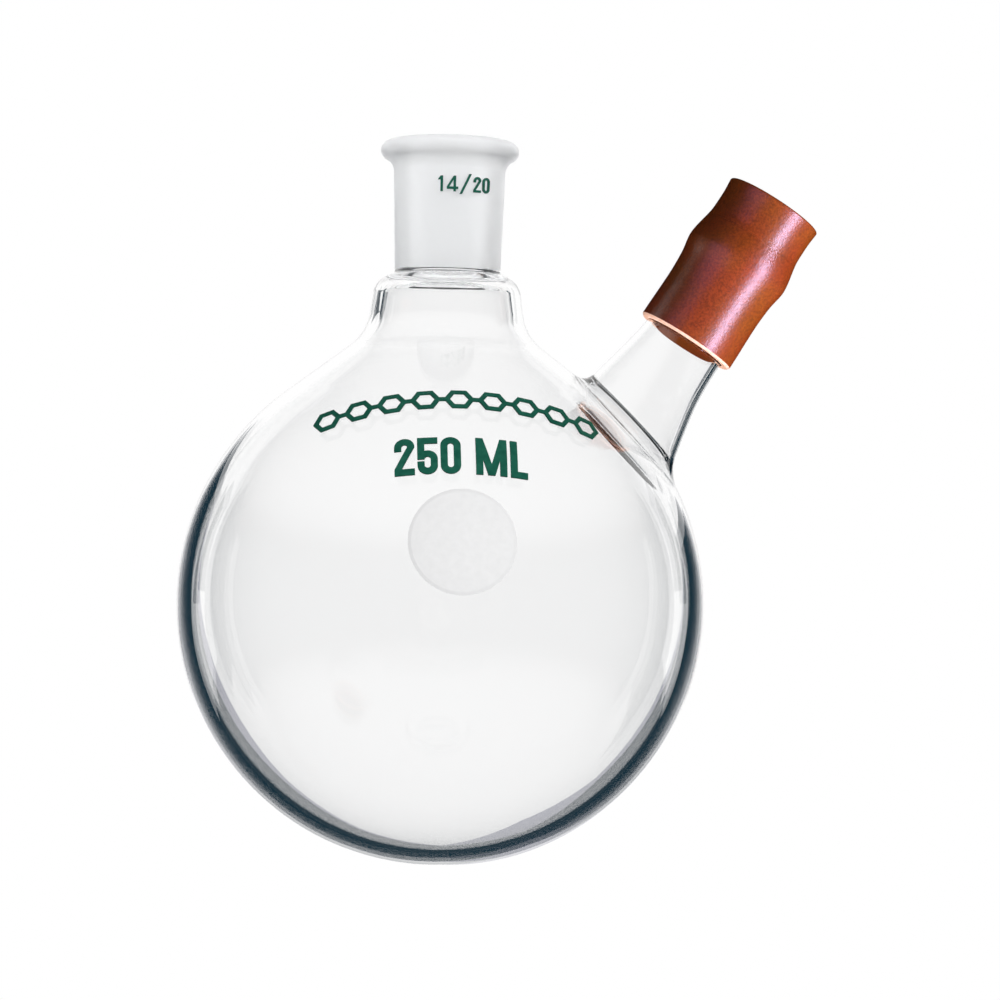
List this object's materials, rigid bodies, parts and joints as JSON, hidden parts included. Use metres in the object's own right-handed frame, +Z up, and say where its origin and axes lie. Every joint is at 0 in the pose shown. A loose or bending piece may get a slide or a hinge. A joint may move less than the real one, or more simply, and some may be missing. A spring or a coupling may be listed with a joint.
{
  "type": "round bottom flask",
  "caption": "Round bottom glass flask with a ground taper joint on its neck and an angled side port closed by a red rubber sleeve septum.",
  "frame": {"origin": "lowest point of the bulb, on the neck's axis", "axes": "+Z up the neck's axis, +X towards the side port, +Y away from the printed marks"},
  "size_m": [0.1023, 0.0852, 0.1174],
  "materials": {
    "clear_glass": "clear, fire-polished borosilicate",
    "ground_glass": "clear outside, ground inside, so it reads as frosted",
    "red_rubber": "satin moulded natural rubber",
    "green_enamel": "fired enamel, satin",
    "white_enamel": "fired enamel, matt"
  },
  "bodies": {
    "flask": {"bulb": "clear_glass", "neck": "clear_glass", "ground_joint": "ground_glass", "side_port": "clear_glass", "marking_spot": "white_enamel", "label_band": "green_enamel", "capacity_2": "green_enamel", "capacity_5": "green_enamel", "capacity_0": "green_enamel", "capacity_m": "green_enamel", "capacity_l": "green_enamel", "size_1": "green_enamel", "size_4": "green_enamel", "size_slash": "green_enamel", "size_2": "green_enamel", "size_0": "green_enamel"},
    "septum": {"septum_plug": "red_rubber"},
    "skirt": {"septum_skirt": "red_rubber"}
  },
  "joints": [
    {"name": "septum_pull", "type": "slide", "parent": "flask", "child": "septum", "axis": [0.5299, 0, 0.848], "range_m": [0, 0.035]},
    {"name": "skirt_roll", "type": "slide", "parent": "septum", "child": "skirt", "axis": [0.5299, 0, 0.848], "range_m": [0, 0.012], "deforming": ["septum_skirt"]}
  ]
}
